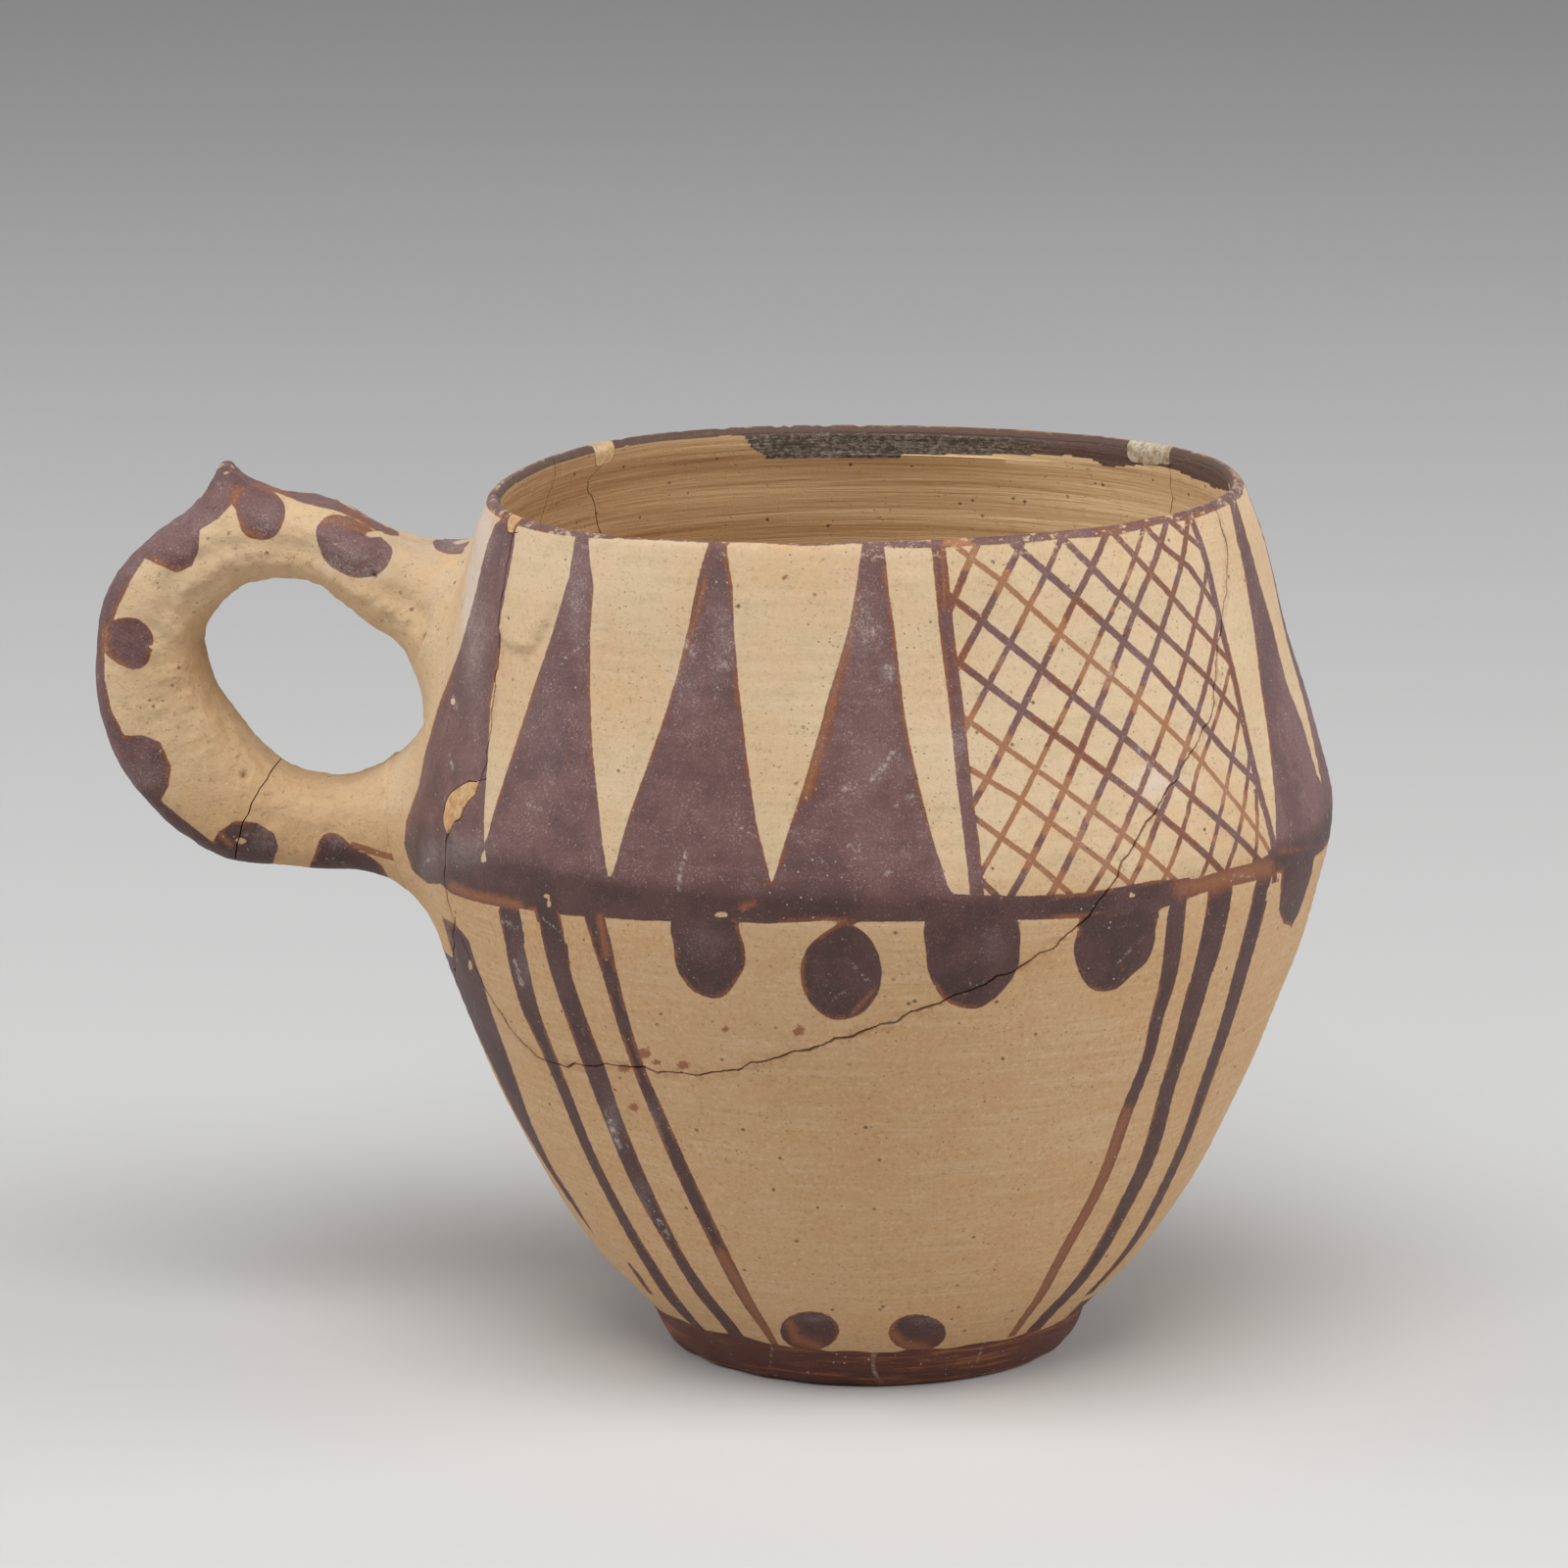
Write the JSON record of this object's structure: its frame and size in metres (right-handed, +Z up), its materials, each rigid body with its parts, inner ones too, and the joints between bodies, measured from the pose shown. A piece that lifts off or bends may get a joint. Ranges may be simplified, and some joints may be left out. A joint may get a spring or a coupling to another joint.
{
  "type": "one-handled cup",
  "caption": "Painted earthenware cup with a ridged shoulder, a disc foot and a loop handle with a thumb spur, rejoined from its sherds, for holding and drinking liquids.",
  "frame": {"origin": "centre of the foot's flat underside, on the cup's wheel axis", "axes": "+Z up along the wheel axis, -X towards the handle, -Y towards the painted front"},
  "size_m": [0.1628, 0.1212, 0.1161],
  "materials": {
    "painted_clay": "matte buff clay with dark brown slip-painted bands, triangles, stripes and drops",
    "handle_clay": "matte buff clay, hand-shaped, with slip-painted dots",
    "brown_slip": "matte brown slip over fired clay",
    "pale_fill": "matte pale restorer's plaster",
    "ochre_fill": "matte ochre restorer's filler"
  },
  "bodies": {
    "root": {"lower_bowl": "painted_clay", "front_wall": "painted_clay", "handle_wall": "painted_clay", "side_wall": "painted_clay", "back_wall": "painted_clay", "handle_arch": "handle_clay", "handle_root": "handle_clay", "thumb_spur": "brown_slip", "foot": "brown_slip", "rim_fill_left": "pale_fill", "rim_fill_right": "ochre_fill", "rim_fill_front": "ochre_fill", "wall_fill": "ochre_fill"}
  },
  "joints": []
}
